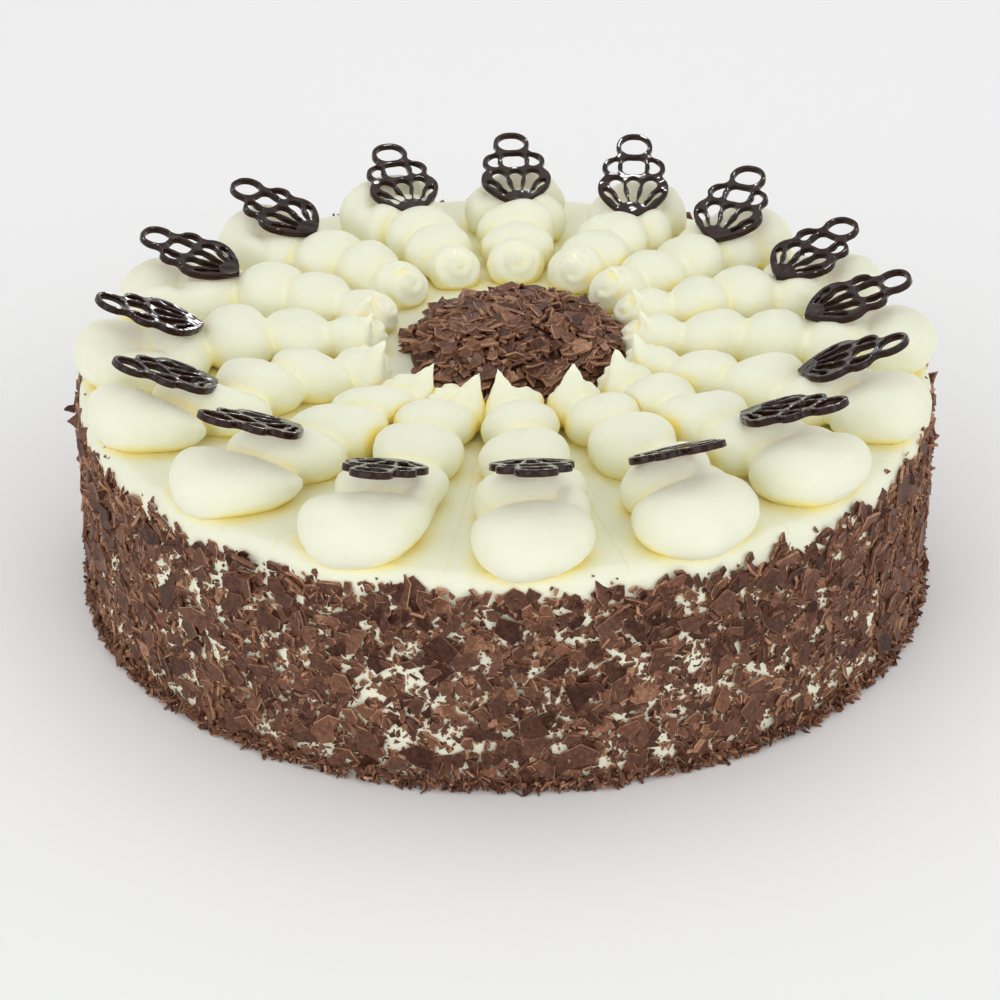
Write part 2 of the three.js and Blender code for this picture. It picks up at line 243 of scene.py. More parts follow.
cake = {"radius": 137, "height": 72.5, "rimRound": 5, "rimSteps": 8, "turnSteps": 288, "topRings": 34,
        "sideRings": 14, "squeezed": 0.6, "swell": 0.7, "swellSpacing": 26, "swellFrom": 100,
        "dip": 0.35, "dipSpacing": 30, "dipFrom": 60, "dipShift": 7, "still": 1}


def coatMesh():
    bm = bmesh.new()
    points = [(0, 0), (cake["radius"], 0)]
    straight = cake["height"] - cake["rimRound"]
    points += [(cake["radius"], straight * k / cake["sideRings"]) for k in range(1, cake["sideRings"])]
    for k in range(cake["rimSteps"] + 1):
        a = math.radians(90 * k / cake["rimSteps"])
        points.append((cake["radius"] - cake["rimRound"] * (1 - math.cos(a)),
                       straight + cake["rimRound"] * math.sin(a)))
    inner = cake["radius"] - cake["rimRound"]
    points += [(inner * (1 - k / cake["topRings"]), cake["height"]) for k in range(1, cake["topRings"] + 1)]
    verts = [bm.verts.new((r * mm, 0, z * mm)) for r, z in points]
    edges = [bm.edges.new(pair) for pair in zip(verts, verts[1:])]
    bmesh.ops.spin(bm, geom=verts + edges, axis=(0, 0, 1), cent=(0, 0, 0), angle=2 * math.pi,
                   steps=cake["turnSteps"], use_merge=True, use_duplicate=False)
    bmesh.ops.remove_doubles(bm, verts=bm.verts, dist=1e-6)
    bmesh.ops.recalc_face_normals(bm, faces=bm.faces)
    shift = Vector((cake["dipShift"], 0, 0))
    for v in bm.verts:  # spread by hand: the side wavers and the top dips a little
        reach = math.hypot(v.co.x, v.co.y)
        if v.co.z > cake["still"] * mm and reach > cake["still"] * mm:
            out = cake["squeezed"] + cake["swell"] * noise.noise(v.co / (cake["swellSpacing"] * mm))
            out *= min(1, reach / (cake["swellFrom"] * mm))
            v.co.x *= 1 + out * mm / reach
            v.co.y *= 1 + out * mm / reach
        if v.co.z > cake["dipFrom"] * mm:
            v.co.z += cake["dip"] * mm * noise.noise(v.co / (cake["dipSpacing"] * mm) + shift)
    for face in bm.faces:
        face.smooth = True
    return meshOf(bm, "cake_coat")


newPiece("cake_coat", coatMesh(), spreadCream, "cream", "cake_body")
print("coat made")


# the sixteen piped ropes: thick strokes laid side by side from the rim inwards, with a pulled-up end

ropeAngles = [-86, -66, -43, -20, 4, 22, 43, 63, 87, 109, 132, 156, 180, 203, 231, 251]
ropeSkews = [20, 22, -26, -24, -14, -8, 4, -6, 6, 8, 6, 2, 12, 30, 36, 27]  # degrees, left end further out
# how far a rope strays to its left at its outer end, halfway and at its inner end
ropeSways = [(0, 0, 1), (-5.5, -8.5, -4.5), (-3, -3.5, -6), (0, -3, -6), (4, -1, -5), (0, -4, -8),
             (-3.5, -4, -7), (-5, -3, -4), (-3, 0, 0), (-5, 1, 3), (-8, 0, 5), (-11, 3, 6), (-9.5, 4, 9),
             (-5, 5, 6), (6.5, 4.5, 4), (2.4, 2, 4)]
ropeOuts = [0, 0, -1.5, 0, 0, 0, 0, 0, 0, 0, 0, 0, -1.2, -2.8, -3.5, 0]  # how much further out it starts
ropeHighs = [1, 1, 1, 1, 0.95, 0.95, 1, 1, 1, 1, 0.95, 0.84, 0.9, 1, 0.9, 1]  # how high its first stroke is
ropeWides = [1, 1.14, 1.03, 1.04, 1, 1, 1, 1, 1, 1, 1, 1, 1, 1, 1.1, 1.03]  # how wide its first stroke is
# how much its first stroke thins to the right
ropeTails = [0.18, 0.12, 0.1, 0.1, 0.1, 0.1, 0.1, 0.1, 0.1, 0.1, 0.12, 0.15, 0.2, 0.3, 0.34, 0.26]
rope = {"outer": 139.5, "outerFront": 2, "outerBack": 14, "inner": 41, "innerBack": 21, "easing": 1.5,
        "shares": [0, 0.22, 0.41, 0.61, 0.81, 1], "sharesFront": [0, 0.06, 0.09, 0.12, 0.1, 0],
        "halfWidths": [17.6, 16.2, 14, 12.4, 9.8], "heights": [17.2, 15.6, 16.2, 14.8, 13],
        "tapers": [0.1, 0.08, 0.05, 0], "fullness": [2.2, 2.2, 2.2, 2.1, 2.0], "blunt": 0.85,
        "overlap": 2.2, "bow": 4, "topLean": 0.16, "seat": 0.3, "roundSteps": 36, "lengthSteps": 30,
        "voxel": 0.8, "smoothing": 0.5, "settling": 4, "softening": 7, "lump": 1.0, "lumpSpacing": 13,
        "ripple": 0.2, "rippleSpacing": 3.5, "seed": 100}
# how far a stroke differs by chance: its slant, width, height, bow, taper and place
ropeChance = {"skew": 6, "width": (0.96, 1.05), "height": (0.95, 1.05), "bow": (0.5, 1.5), "taper": 0.05,
              "place": 0.8}
# the right-hand turn between the first two strokes: how far aside it lies, and nothing where
# the first stroke ends in a tail
ropeTurn = {"aside": [0.66, 0.45, 0.45, 0.45, 0.5, 0.5, 0.6, 0.7, 0.75, 0.75, 0.7, 0.7, 0.75, 0, 0, 0.78],
            "across": 1.4, "along": 12.5, "up": 0.86, "follow": 0.7}
ropeTips = {"left": [5.8, -4.3, -5.3, -2, -4.7, -8, -8, -5, 1.6, 3.7, 4.9, 2, 5, -3, -6.5, -6.5],
            "rise": [21, 20.5, 19.5, 18.5, 18, 17.5, 16.5, 14, 13, 14, 15.5, 16.5, 17.5, 18.5, 20, 19],
            "halfBase": 10.5, "halfDepth": 7.5, "hollow": 0.95, "pinch": 0.7, "start": 2, "leanFrom": 0.4,
            "foot": 8, "tip": 0.5, "steps": 24, "blend": 1}
ropeCurl = {"height": 8, "inset": 1, "reach": 11, "spacing": 3.0, "ridge": 1.0, "nub": 1.6, "nubRadius": 2}
poleRing = 0.02  # nearer than this a point counts as the pole of its sphere


def ropePlan(index):
    angle = math.radians(ropeAngles[index])
    backward = max(0, math.sin(angle)) ** rope["easing"]
    forward = max(0, -math.sin(angle)) ** rope["easing"]
    outer = rope["outer"] + rope["outerFront"] * forward - rope["outerBack"] * backward + ropeOuts[index]
    inner = rope["inner"] + rope["innerBack"] * backward
    shares = [share + ahead * forward for share, ahead in zip(rope["shares"], rope["sharesFront"])]
    fronts = [outer + (inner - outer) * share for share in shares]
    place = Matrix.Translation((0, 0, cake["height"] * mm)) @ Matrix.Rotation(angle - math.pi / 2, 4, "Z")
    aside = Vector((math.sin(angle), -math.cos(angle), 0))
    return {"place": place, "aside": aside, "inner": inner, "fronts": fronts}


def swayAt(index, i):
    return float(np.interp(i, (0, 2, 4), ropeSways[index]))  # first, middle and last stroke


def addBall(bm):
    made = bmesh.ops.create_uvsphere(bm, u_segments=rope["roundSteps"], v_segments=rope["lengthSteps"],
                                     radius=1)
    return made["verts"]


def addStroke(bm, plan, index, i, draw):
    verts = addBall(bm)
    first = i == 0
    front, following = plan["fronts"][i], plan["fronts"][i + 1]
    skew = math.radians(ropeSkews[index] + draw.normal(0, ropeChance["skew"]))
    halfDepth = (front - following) / 2 * math.cos(skew) + rope["overlap"]
    halfSpan = rope["halfWidths"][i] * draw.uniform(*ropeChance["width"]) * (ropeWides[index] if first else 1)
    halfLength = math.sqrt(halfSpan ** 2 - (halfDepth * math.sin(skew)) ** 2) / math.cos(skew)
    halfHeight = rope["heights"][i] * draw.uniform(*ropeChance["height"]) / (1 + 2 * rope["seat"])
    halfHeight *= ropeHighs[index] if first else 1
    fullness = rope["fullness"][i]
    bow = rope["bow"] * draw.uniform(*ropeChance["bow"]) * (1 - i / len(rope["heights"]))
    taper = (ropeTails[index] if first else rope["tapers"][i - 1]) + draw.normal(0, ropeChance["taper"])
    chord = 1 / math.hypot(math.sin(skew) / halfLength, math.cos(skew) / halfDepth)
    middle = Vector((swayAt(index, i) + draw.normal(0, ropeChance["place"]), front - chord - bow))
    for v in verts:
        q, u, s = v.co
        along = math.copysign(abs(s) ** rope["blunt"], s)
        ring = math.sqrt(max(0, 1 - s * s))
        full = max(0, 1 - abs(along) ** fullness) ** (1 / fullness)
        swell = (1 + taper * along) * (full / ring if ring > poleRing else 1)
        z = halfHeight * (2 * rope["seat"] + u * swell)
        out = halfDepth * q * swell + bow * (1 - along * along) + rope["topLean"] * z
        x = halfLength * along * math.cos(skew) - out * math.sin(skew)
        y = halfLength * along * math.sin(skew) + out * math.cos(skew)
        v.co = Vector((middle.x + x, middle.y + y, z)) * mm


# the right-hand turn where the first stroke runs on into the second
def addTurn(bm, plan, index):
    verts = addBall(bm)
    halfWidth = rope["halfWidths"][1]
    share = ropeTurn["aside"][index]
    aside = swayAt(index, 0.5) - share * halfWidth
    across = halfWidth * (1 - share) + ropeTurn["across"]
    up = rope["heights"][1] * ropeTurn["up"] / (1 + 2 * rope["seat"])
    slant = math.tan(math.radians(ropeSkews[index]))
    middle = plan["fronts"][1] - share * halfWidth * slant * ropeTurn["follow"]
    for v in verts:
        v.co = Vector((aside + across * v.co.x, middle + ropeTurn["along"] * v.co.y,
                       up * (2 * rope["seat"] + v.co.z))) * mm


# the end that is pulled up as the nozzle lifts away: a hollow-sided fin
def addPeak(bm, plan, index):
    made = bmesh.ops.create_uvsphere(bm, u_segments=ropeTips["steps"], v_segments=ropeTips["steps"], radius=1)
    left, rise = ropeTips["left"][index], ropeTips["rise"][index]
    start, leanFrom = ropeTips["start"], ropeTips["leanFrom"]
    for v in made["verts"]:
        share = (v.co.z + 1) / 2
        ring = math.hypot(v.co.x, v.co.y)
        reach = ring ** -ropeTips["pinch"] * (1 - share) ** ropeTips["hollow"] if ring > poleRing else 0
        lean = share ** 2
        foot = ropeTips["foot"] + (ropeTips["tip"] - ropeTips["foot"]) * lean
        v.co = Vector((left * (leanFrom + (1 - leanFrom) * lean) + ropeTips["halfBase"] * v.co.x * reach,
                       plan["inner"] + foot + ropeTips["halfDepth"] * v.co.y * reach,
                       start + (rise - start) * share)) * mm


def ropeMesh(index):
    plan = ropePlan(index)
    draw = np.random.default_rng(rope["seed"] + index)
    bm = bmesh.new()
    for i in range(len(rope["heights"])):
        addStroke(bm, plan, index, i, draw)
    if ropeTurn["aside"][index] > 0:
        addTurn(bm, plan, index)
    addPeak(bm, plan, index)
    bmesh.ops.transform(bm, matrix=plan["place"], verts=bm.verts)
    bmesh.ops.recalc_face_normals(bm, faces=bm.faces)
    loose = bpy.data.objects.new("strokes", meshOf(bm, "strokes"))
    scene.collection.objects.link(loose)
    even = loose.modifiers.new("even", "REMESH")  # runs the strokes together
    even.mode = "VOXEL"
    even.voxel_size = rope["voxel"] * mm
    settle = loose.modifiers.new("settle", "SMOOTH")
    settle.factor = rope["smoothing"]
    settle.iterations = rope["settling"]
    mesh = bpy.data.meshes.new_from_object(loose.evaluated_get(bpy.context.evaluated_depsgraph_get()))
    used = loose.data
    bpy.data.objects.remove(loose)
    bpy.data.meshes.remove(used)
    bm = bmesh.new()
    bm.from_mesh(mesh)
    peakFoot = (cake["height"] + rope["heights"][-1] - ropeTips["blend"]) * mm
    peakReach = (plan["inner"] + ropeTips["foot"]) * mm
    thick = [v for v in bm.verts if v.co.xy.length > peakReach or v.co.z < peakFoot]
    for k in range(rope["softening"]):
        bmesh.ops.smooth_vert(bm, verts=thick, factor=rope["smoothing"], use_axis_x=True, use_axis_y=True,
                              use_axis_z=True)
    bm.normal_update()
    nubSpot = Vector((swayAt(index, 4), plan["inner"] + ropeCurl["inset"], ropeCurl["height"]))
    nub = plan["place"] @ (nubSpot * mm)
    for v in bm.verts:
        lump = rope["lump"] * noise.noise(v.co / (rope["lumpSpacing"] * mm))
        lump += rope["ripple"] * noise.noise(v.co / (rope["rippleSpacing"] * mm))
        away = (v.co - nub).length / mm
        if away < ropeCurl["reach"]:  # the strand curls up on itself as the nozzle stops
            turn = math.atan2((v.co - nub).dot(plan["aside"]), v.co.z - nub.z)
            fade = 1 - away / ropeCurl["reach"]
            lump += fade * ropeCurl["ridge"] * math.cos(2 * math.pi * away / ropeCurl["spacing"] + turn)
            lump += ropeCurl["nub"] * math.exp(-(away / ropeCurl["nubRadius"]) ** 2)
        v.co += v.normal * lump * mm
    for face in bm.faces:
        face.smooth = True
    bm.to_mesh(mesh)
    bm.free()
    return mesh


for index in range(len(ropeAngles)):
    number = "%02d" % (index + 1)
    newPiece("piped_rope_" + number, ropeMesh(index), pipedCream, "cream", "cream_rope_" + number)
print("ropes made")


# how deep each point of the cream lies in a crease: the share of directions that other cream closes off; the
# cream is painted with yellow shade by it
creaseTest = {"reach": 9, "directions": 18, "lowest": 0.1, "skin": 0.2, "margin": 3}


def paintCreaseShade():
    creams = (pipedCream, spreadCream)
    pieces = [piece for piece in scene.objects if piece.type == "MESH" and piece.active_material in creams]
    verts, faces = [], []
    for piece in pieces:
        start = len(verts)
        verts += [v.co.copy() for v in piece.data.vertices]
        faces += [[start + k for k in p.vertices] for p in piece.data.polygons]
    tree = BVHTree.FromPolygons(verts, faces)
    golden = math.pi * (3 - math.sqrt(5))
    rays = []
    for k in range(creaseTest["directions"]):
        z = 1 - 2 * (k + 0.5) / creaseTest["directions"]
        flat = math.sqrt(1 - z * z)
        rays.append(Vector((flat * math.cos(golden * k), flat * math.sin(golden * k), z)))
    reach = creaseTest["reach"] * mm
    for piece in pieces:
        closed = np.zeros(len(piece.data.vertices), dtype=np.float32)
        for v in piece.data.vertices:
            if v.co.z < (cake["height"] - creaseTest["margin"]) * mm:
                continue
            start = v.co + v.normal * creaseTest["skin"] * mm
            total, shut = 0, 0
            for ray in rays:
                share = ray.dot(v.normal)
                if share > creaseTest["lowest"]:
                    total += share
                    distance = tree.ray_cast(start, ray, reach)[3]
                    if distance is not None:
                        shut += share * (1 - distance / reach)
            closed[v.index] = shut / total
        layer = piece.data.attributes.new("creaseShade", "FLOAT", "POINT")
        layer.data.foreach_set("value", closed)


paintCreaseShade()
print("creases marked")


# the filigrees: one flat curve with openings, made a mesh and set on each rope

filigree = {"thickness": 2.2, "round": 0.42, "draft": 0.15, "footRadius": 97.5, "footHeight": 13.5,
            "curveSteps": 5, "roundSteps": 3, "flat": 0.97, "crisp": 40,
            "outline": [(0, 0), (4.8, 2.6), (9.8, 7.2), (12.3, 12.0), (12.0, 15.4), (10.1, 18.8),
                        (11.1, 22.0), (9.8, 25.0), (6.0, 27.4), (6.4, 31.6), (4.6, 35.4), (0, 37)],
            "corner": (0, 0), "slotAngles": [0, 22, -22, 40, -40], "slotEnds": [17.4, 18.6, 18.6, 15.8, 15.8],
            "slotSpreads": [11, 10.5, 10.5, 7.2, 7.2], "slotStart": 6.8, "slotWidest": (0.68, 0.9),
            "rib": 1.6,
            "cell": [(-3.4, 19.7), (0, 19.0), (3.4, 19.7), (3.9, 22.6), (3.5, 25.4), (0, 26.1), (-3.5, 25.4),
                     (-3.9, 22.6)],
            "loop": [(5.5, 19.7), (8.0, 19.6), (9.3, 22.0), (8.2, 24.4), (5.5, 25.4), (5.7, 22.6)],
            "eye": [(-3.4, 28.6), (0, 27.8), (3.4, 28.6), (4.7, 31.6), (3.3, 34.5), (0, 35.5), (-3.3, 34.5),
                    (-4.7, 31.6)]}
# how each is turned from its rope's direction, rolled sideways, lifted and leant
filigreeTurns = [0, 16, 10, 5, 8, 18, 20, 24, 9, 0, 13, 2, 18, 8, -14, 6]
filigreeRolls =[0, -6, -4, 0, 0, 0, 0, 0, 0, 0, 0, 0, 0, 0, 5, 0]
filigreeLifts = [3, 0, 2.5, 0, 0, 0, 0, -0.5, 0, -1, 0, 0, 0, -1, 2.7, 0]
filigreeLeans = [23, 28, 21, 25, 18, 17, 23, 29, 20, 19, 17, 15, 23, 24, 23, 22]


def addSpline(curve, points):
    spline = curve.splines.new("BEZIER")
    spline.use_cyclic_u = True
    spline.bezier_points.add(len(points) - 1)
    for knot, (x, y) in zip(spline.bezier_points, points):
        knot.co = (x * mm, y * mm, 0)
        kind = "VECTOR" if (x, y) == filigree["corner"] else "AUTO"
        knot.handle_left_type = knot.handle_right_type = kind


def filigreeMesh():
    curve = bpy.data.curves.new("filigree", "CURVE")
    curve.dimensions = "2D"
    curve.fill_mode = "BOTH"
    curve.resolution_u = filigree["curveSteps"]
    curve.bevel_depth = filigree["round"] * mm
    curve.bevel_resolution = filigree["roundSteps"]
    curve.offset = -filigree["round"] * mm
    curve.extrude = (filigree["thickness"] / 2 - filigree["round"]) * mm
    half = filigree["outline"]
    addSpline(curve, half + [(-x, y) for x, y in half[-2:0:-1]])
    for angle, end, spread in zip(filigree["slotAngles"], filigree["slotEnds"], filigree["slotSpreads"]):
        grow = math.tan(math.radians(spread))
        widest = [end * share for share in filigree["slotWidest"]]
        sides = [(reach, reach * grow - filigree["rib"] / 2) for reach in widest]
        back = [(reach, -wide) for reach, wide in sides[::-1]]
        points = [(filigree["slotStart"], 0)] + sides + [(end, 0)] + back
        turn = Matrix.Rotation(math.radians(angle), 2)
        addSpline(curve, [tuple(turn @ Vector((wide, reach))) for reach, wide in points])
    addSpline(curve, filigree["cell"])
    addSpline(curve, filigree["loop"])
    addSpline(curve, [(-x, y) for x, y in filigree["loop"]])
    addSpline(curve, filigree["eye"])
    flat = bpy.data.objects.new("filigree", curve)
    scene.collection.objects.link(flat)
    mesh = bpy.data.meshes.new_from_object(flat.evaluated_get(bpy.context.evaluated_depsgraph_get()))
    bpy.data.objects.remove(flat)
    bpy.data.curves.remove(curve)
    bm = bmesh.new()
    bm.from_mesh(mesh)
    bmesh.ops.remove_doubles(bm, verts=bm.verts, dist=1e-6)
    bmesh.ops.recalc_face_normals(bm, faces=bm.faces)
    bm.normal_update()
    half = filigree["thickness"] / 2 * mm
    # rim: how low a point lies, where the painted brown of light coming through goes
    rim = bm.verts.layers.float.new("rim")
    for v in bm.verts:  # walls slope a little, to leave the mould
        level = v.co.z / half
        away = v.normal.xy.normalized()
        v.co.xy -= away * level * filigree["draft"] / 2 * mm
        v[rim] = max(0, -level)
    for face in bm.faces:
        face.smooth = abs(face.normal.z) < filigree["flat"]
    for edge in bm.edges:
        edge.smooth = edge.calc_face_angle(0) < math.radians(filigree["crisp"])
    bm.to_mesh(mesh)
    bm.free()
    return mesh


plainFiligree = filigreeMesh()
for index, angle in enumerate(ropeAngles):
    number = "%02d" % (index + 1)
    a = math.radians(angle)
    spot = Vector((filigree["footRadius"] * math.cos(a), filigree["footRadius"] * math.sin(a),
                   cake["height"] + filigree["footHeight"] + filigreeLifts[index])) * mm
    turn = Matrix.Rotation(a - math.pi / 2 + math.radians(filigreeTurns[index]), 4, "Z")
    lean = Matrix.Rotation(math.radians(filigreeLeans[index]), 4, "X")
    roll = Matrix.Rotation(math.radians(filigreeRolls[index]), 4, "Y")
    mesh = plainFiligree.copy()
    mesh.transform(Matrix.Translation(spot) @ turn @ lean @ roll)
    newPiece("chocolate_filigree_" + number, mesh, filigreeChocolate, "filigree_chocolate",
             "filigree_" + number)
bpy.data.meshes.remove(plainFiligree)
print("filigrees made")


# broken flakes: thin slabs with straight broken sides, joined to one mesh for each kind

flake = {"toneSpread": 0.15, "toneLow": 0.02, "toneHigh": 0.85, "brokenTone": 0.3, "chippedTone": 0.45,
         "cornerJitter": 0.9, "undercut": 0.82, "steepTilt": 55}


def between(draw, pair, count):
    return draw.uniform(pair[0], pair[1], count)


def flakeMesh(kind, draw, spots, facing, floor):
    count, corners = len(spots), kind["corners"]
    sizes = kind["sizes"][0] * (kind["sizes"][1] / kind["sizes"][0]) ** draw.random(count)
    thickness = between(draw, kind["thickness"], count)
    narrow = between(draw, kind["narrow"], count)
    tones = draw.normal(kind["tone"], flake["toneSpread"], count)
    tones = np.clip(tones, flake["toneLow"], flake["toneHigh"])
    k = np.arange(corners)
    turns = (k + flake["cornerJitter"] * draw.random((count, corners))) / corners * 2 * np.pi
    reach = sizes[:, None] / 2 * draw.uniform(kind["reach"], 1.0, (count, corners))
    px = reach * np.cos(turns)
    py = reach * np.sin(turns) * narrow[:, None]
    bend = draw.normal(0, kind["curl"], (count, 1)) * px ** 2 / sizes[:, None]
    side = np.cross(facing, draw.normal(size=(count, 3)))
    side /= np.linalg.norm(side, axis=1)[:, None]
    other = np.cross(facing, side)
    flat = px[:, :, None] * side[:, None] + py[:, :, None] * other[:, None]
    up = facing[:, None]
    half = thickness[:, None, None] / 2
    chip = kind["chip"]  # the upper edge is chipped all round where it is above zero
    undercut = draw.uniform(flake["undercut"], 1.0, (count, 1, 1))
    rings = [flat * undercut - half * up, flat + (half - chip) * up]
    if chip > 0:
        rings.append(flat * (1 - 2 * chip / sizes)[:, None, None] + half * up)
    levels = len(rings)
    placed = [spots[:, None] + bend[:, :, None] * up + ring for ring in rings]
    verts = np.concatenate(placed, axis=1).reshape(-1, 3)
    verts[:, 2] = np.maximum(verts[:, 2], floor)
    base = (np.arange(count) * levels * corners)[:, None]
    after = (k + 1) % corners
    faces = (base + (levels - 1) * corners + k).tolist() + (base + k[::-1]).tolist()
    values = [tones, tones]
    for level in range(levels - 1):
        band = np.stack([k, after, after + corners, k + corners], axis=1) + level * corners
        faces += (base[:, :, None] + band[None]).reshape(-1, 4).tolist()
        paler = flake["brokenTone"] if level == 0 else flake["chippedTone"]
        values.append(np.repeat(np.clip(tones + paler, 0, 1), corners))
    mesh = bpy.data.meshes.new(kind["name"])
    mesh.from_pydata((verts * mm).tolist(), [], faces)
    layer = mesh.attributes.new("tone", "FLOAT", "FACE")
    layer.data.foreach_set("value", np.concatenate(values))
    return mesh


def leaning(draw, outward, kind):
    count = len(outward)
    steep = draw.random(count) < kind["steepShare"]  # some stand out edge on
    tilt = np.radians(np.where(steep, flake["steepTilt"], kind["tilt"]))
    facing = outward + tilt[:, None] * draw.normal(size=(count, 3))
    return facing / np.linalg.norm(facing, axis=1)[:, None]


# on the side: crumbs first, then larger and larger shards over them
sideFlakes = [
    {"name": "side_crumbs", "count": 14500, "sizes": (1.2, 2.6), "thickness": (0.4, 0.9), "corners": 4,
     "reach": 0.7, "narrow": (0.4, 0.95), "curl": 0.1, "chip": 0, "tilt": 35, "steepShare": 0.3,
     "out": (0.0, 0.8), "low": 0.6, "high": 64.5, "ragged": 7.0, "tone": 0.52},
    {"name": "side_flakes_small", "count": 12000, "sizes": (2.3, 5.2), "thickness": (0.4, 0.9), "corners": 5,
     "reach": 0.7, "narrow": (0.35, 0.9), "curl": 0.2, "chip": 0, "tilt": 22, "steepShare": 0.25,
     "out": (0.2, 1.1), "low": 1.0, "high": 65.5, "ragged": 6.0, "tone": 0.48},
    {"name": "side_flakes_middle", "count": 5000, "sizes": (4.0, 9.5), "thickness": (0.6, 1.1), "corners": 5,
     "reach": 0.55, "narrow": (0.4, 0.9), "curl": 0.25, "chip": 0.2, "tilt": 13, "steepShare": 0.08,
     "out": (0.7, 1.6), "low": 2.0, "high": 65.5, "ragged": 6.0, "tone": 0.38},
    {"name": "side_flakes_large", "count": 680, "sizes": (8.0, 16.0), "thickness": (0.9, 1.4), "corners": 5,
     "reach": 0.5, "narrow": (0.45, 0.9), "curl": 0.2, "chip": 0.26, "tilt": 9, "steepShare": 0.03,
     "out": (1.2, 2.1), "low": 6.0, "high": 63.0, "ragged": 4.0, "tone": 0.3},
    {"name": "side_rim_chips", "count": 300, "sizes": (5.5, 14.0), "thickness": (0.8, 1.3), "corners": 5,
     "reach": 0.5, "narrow": (0.4, 0.95), "curl": 0.3, "chip": 0.26, "tilt": 18, "steepShare": 0.15,
     "out": (0.5, 1.6), "low": 60.0, "high": 67.5, "ragged": 3.0, "tone": 0.34},
    {"name": "side_foot_slivers", "count": 3600, "sizes": (2.6, 8.5), "thickness": (0.4, 0.9), "corners": 4,
     "reach": 0.7, "narrow": (0.16, 0.45), "curl": 0.3, "chip": 0, "tilt": 40, "steepShare": 0.55,
     "out": (0.4, 3.6), "low": 0.4, "high": 4.2, "ragged": 2.0, "tone": 0.4},
]
# their upper edge is ragged, and a denser below 1 puts more of them towards it
sideSpread = {"ragSpacing": 9, "ragChance": 0.35, "denser": 0.88, "floor": 0.15, "seed": 40}


def smoothNoise(points, spacing):
    return np.array([noise.noise(Vector(p) / spacing) for p in points])


def sideMesh(kind, seed):
    draw = np.random.default_rng(seed)
    count = kind["count"]
    turn = draw.uniform(0, 2 * np.pi, count)
    around = np.stack([np.cos(turn), np.sin(turn), np.zeros(count)], axis=1)
    rag = smoothNoise(around * cake["radius"], sideSpread["ragSpacing"])
    high = kind["high"] + kind["ragged"] * (rag + draw.normal(0, sideSpread["ragChance"], count))
    spots = around * (cake["radius"] + between(draw, kind["out"], count))[:, None]
    spots[:, 2] = kind["low"] + (high - kind["low"]) * draw.random(count) ** sideSpread["denser"]
    return flakeMesh(kind, draw, spots, leaning(draw, around, kind), sideSpread["floor"])


for order, kind in enumerate(sideFlakes):
    mesh = sideMesh(kind, sideSpread["seed"] + order)
    newPiece(kind["name"], mesh, flakeChocolate, "flake_chocolate", "cake_body")
print("side flakes made")


# loose chips on the rim of the top
rimChips = {"name": "top_rim_chips", "count": 34, "sizes": (2.0, 6.0), "thickness": (0.6, 1.1), "corners": 4,
            "reach": 0.55, "narrow": (0.25, 0.8), "curl": 0.2, "chip": 0.15, "tilt": 14, "steepShare": 0.1,
            "in": (0.2, 4.0), "lift": 0.5, "tone": 0.4, "seed": 60}


def rimChipMesh(kind):
    draw = np.random.default_rng(kind["seed"])
    count = kind["count"]
    turn = draw.uniform(0, 2 * np.pi, count)
    reach = cake["radius"] - kind["in"][0] - (kind["in"][1] - kind["in"][0]) * draw.random(count) ** 2
    lowered = np.maximum(0, reach - cake["radius"] + cake["rimRound"])
    drop = cake["rimRound"] - np.sqrt(cake["rimRound"] ** 2 - lowered ** 2)
    height = cake["height"] - drop + kind["lift"]
    spots = np.stack([reach * np.cos(turn), reach * np.sin(turn), height], axis=1)
    outward = np.stack([np.cos(turn) * lowered, np.sin(turn) * lowered, cake["rimRound"] - drop], axis=1)
    return flakeMesh(kind, draw, spots, leaning(draw, outward / cake["rimRound"], kind), 0)


newPiece(rimChips["name"], rimChipMesh(rimChips), flakeChocolate, "flake_chocolate", "cake_body")
print("rim chips made")


# the heap in the middle: a low core with flakes lying every way over it

heap = {"x": 4, "y": 7, "radius": 35, "height": 13, "reach": 38, "turnSteps": 48, "rings": 10, "cut": -0.1,
        "lump": 1.2, "lumpSpacing": 5, "tone": 0.15, "wideWave": 0.06, "fineWave": 0.05, "slope": 0.35,
        "floor": 0.1, "seed": 70}
heapFlakes = [
    {"name": "heap_flakes_small", "count": 900, "sizes": (2.2, 5.5), "thickness": (0.4, 0.9), "corners": 4,
     "reach": 0.65, "narrow": (0.3, 0.8), "curl": 0.2, "chip": 0, "tilt": 26, "steepShare": 0.2,
     "lift": (0.3, 2.0), "tone": 0.5},
    {"name": "heap_flakes_large", "count": 640, "sizes": (5.0, 13.0), "thickness": (0.6, 1.1), "corners": 5,
     "reach": 0.5, "narrow": (0.35, 0.85), "curl": 0.35, "chip": 0.22, "tilt": 17, "steepShare": 0.12,
     "lift": (0.6, 2.8), "tone": 0.44},
]


def heapCoreMesh():
    bm = bmesh.new()
    bmesh.ops.create_uvsphere(bm, u_segments=heap["turnSteps"], v_segments=2 * heap["rings"], radius=1)
    bmesh.ops.bisect_plane(bm, geom=bm.verts[:] + bm.edges[:] + bm.faces[:], plane_co=(0, 0, heap["cut"]),
                           plane_no=(0, 0, 1), clear_inner=True)
    bmesh.ops.contextual_create(bm, geom=[e for e in bm.edges if e.is_boundary])
    for v in bm.verts:
        v.co = Vector((heap["x"] + heap["radius"] * v.co.x, heap["y"] + heap["radius"] * v.co.y,
                       cake["height"] + heap["height"] * v.co.z)) * mm
        v.co.z += heap["lump"] * mm * noise.noise(v.co / (heap["lumpSpacing"] * mm))
    mesh = meshOf(bm, "heap_core")
    # the core is toned darker than the flakes over it: painted shade in the gaps between them
    layer = mesh.attributes.new("tone", "FLOAT", "FACE")
    layer.data.foreach_set("value", np.full(len(mesh.polygons), heap["tone"]))
    return mesh


